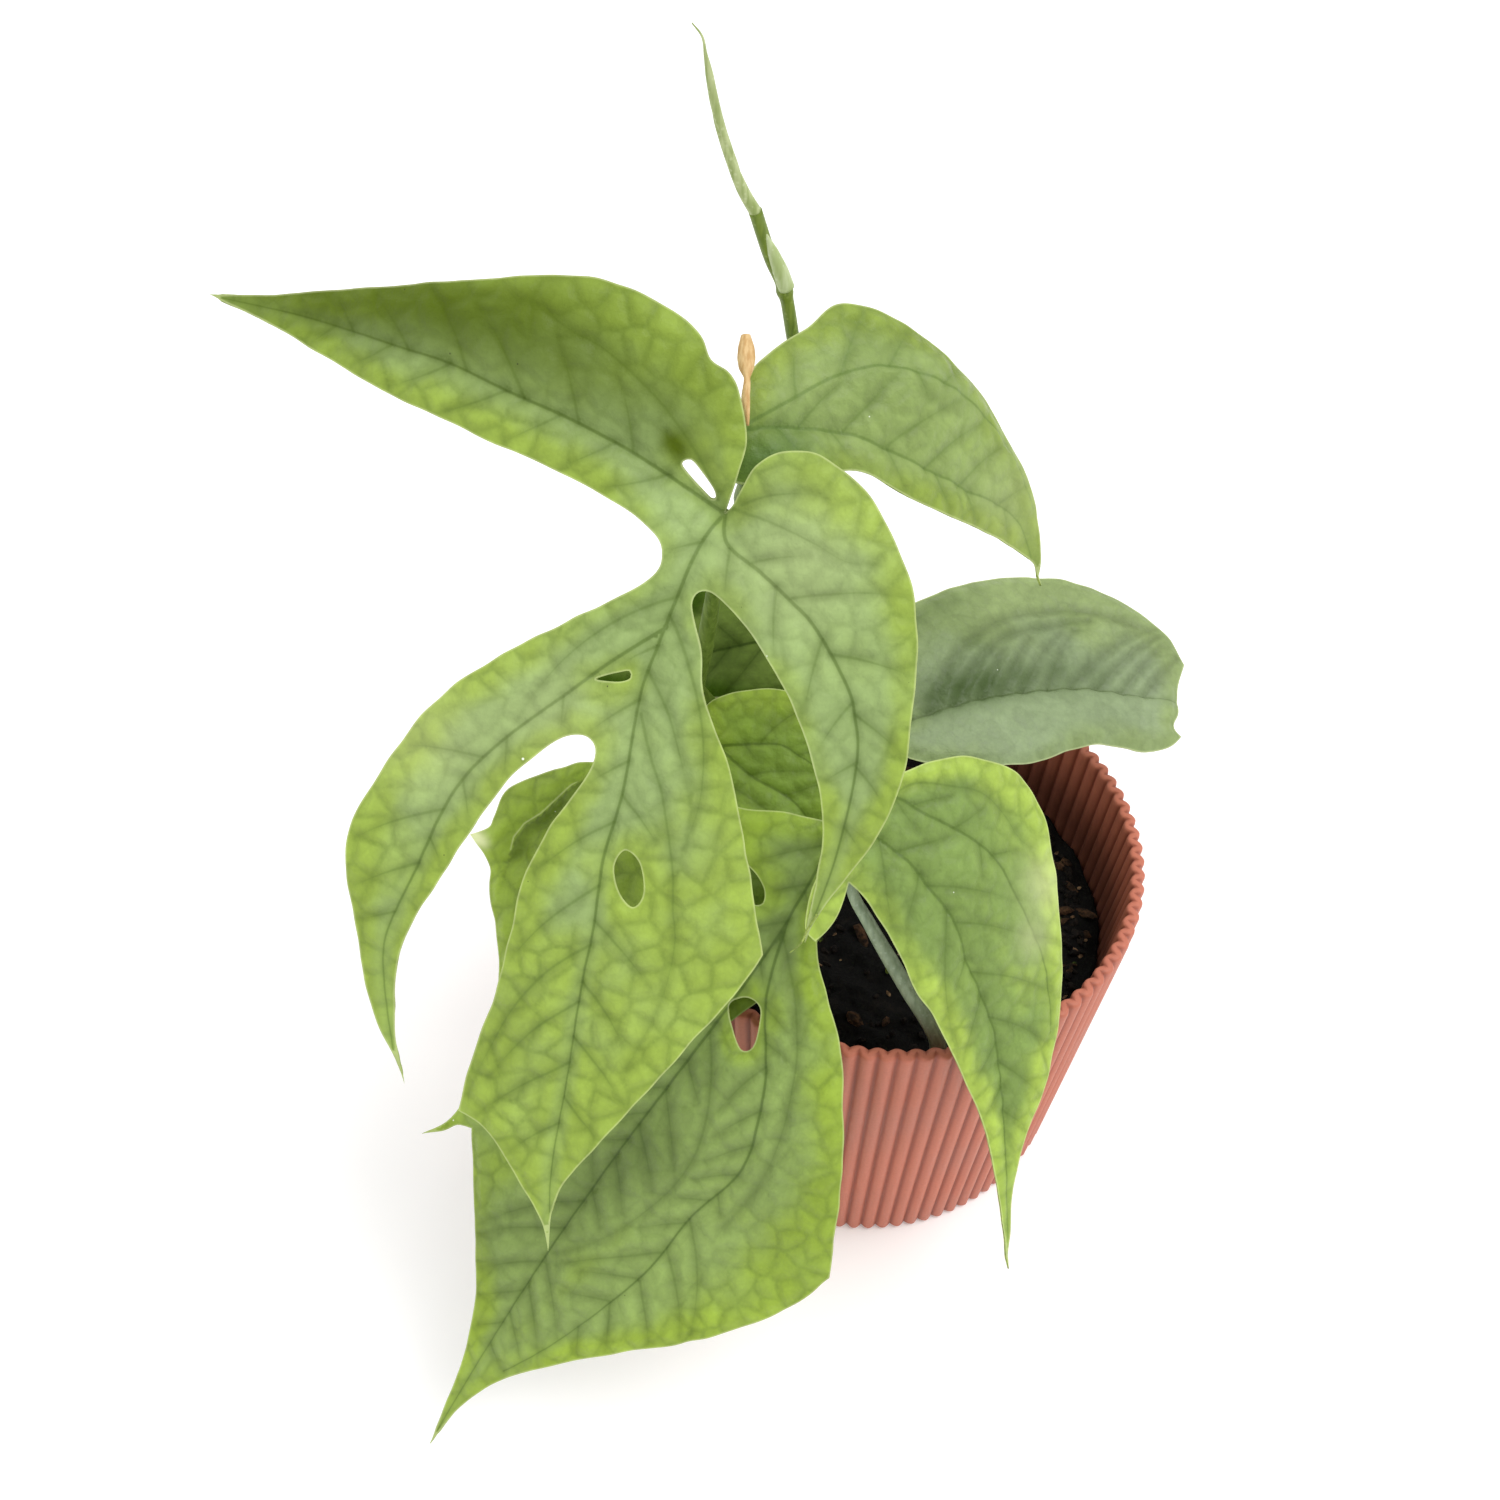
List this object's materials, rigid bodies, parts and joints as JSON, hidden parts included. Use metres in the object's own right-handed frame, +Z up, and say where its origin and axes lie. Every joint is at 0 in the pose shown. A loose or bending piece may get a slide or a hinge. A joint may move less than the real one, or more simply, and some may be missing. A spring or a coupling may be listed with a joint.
{
  "type": "potted climbing aroid",
  "caption": "Climbing foliage plant with large lobed, slit and perforated leaves on round petioles, rising from soil in a tapered pot with a fluted wall and scalloped rim.",
  "frame": {"origin": "centre of the pot's flat underside, on the pot's axis", "axes": "+Z up along the pot's axis; -Y towards the side that the large lobed leaf faces; +X to the right seen from that side"},
  "size_m": [0.2345, 0.205, 0.3316],
  "materials": {
    "pot": "satin salmon-pink plastic, moulded with rounded flutes inside and out",
    "soil": "damp, near-black potting mix with brown bark chips",
    "stem": "smooth mid-green stem, ringed at the nodes",
    "leaf": "satin blade, yellow-green with a silvery zone along the veins and a fine net of darker veins",
    "older_leaf": "satin silver-grey blade with a faint net of veins",
    "new_leaf": "pale, smooth, tightly rolled young tissue",
    "dried_sheath": "dry, papery beige sheath"
  },
  "bodies": {
    "root": {"pot": "pot", "soil": "soil", "stem": "stem", "leaf_large_lobed": "leaf", "leaf_upper_right": "leaf", "leaf_shaded_middle": "leaf", "leaf_bottom": "leaf", "leaf_lower_right": "leaf", "leaf_back_silver": "older_leaf", "leaf_shaded_inner": "leaf", "new_leaf_rolled": "new_leaf", "sheath_new": "new_leaf", "sheath_dried": "dried_sheath"}
  },
  "joints": []
}
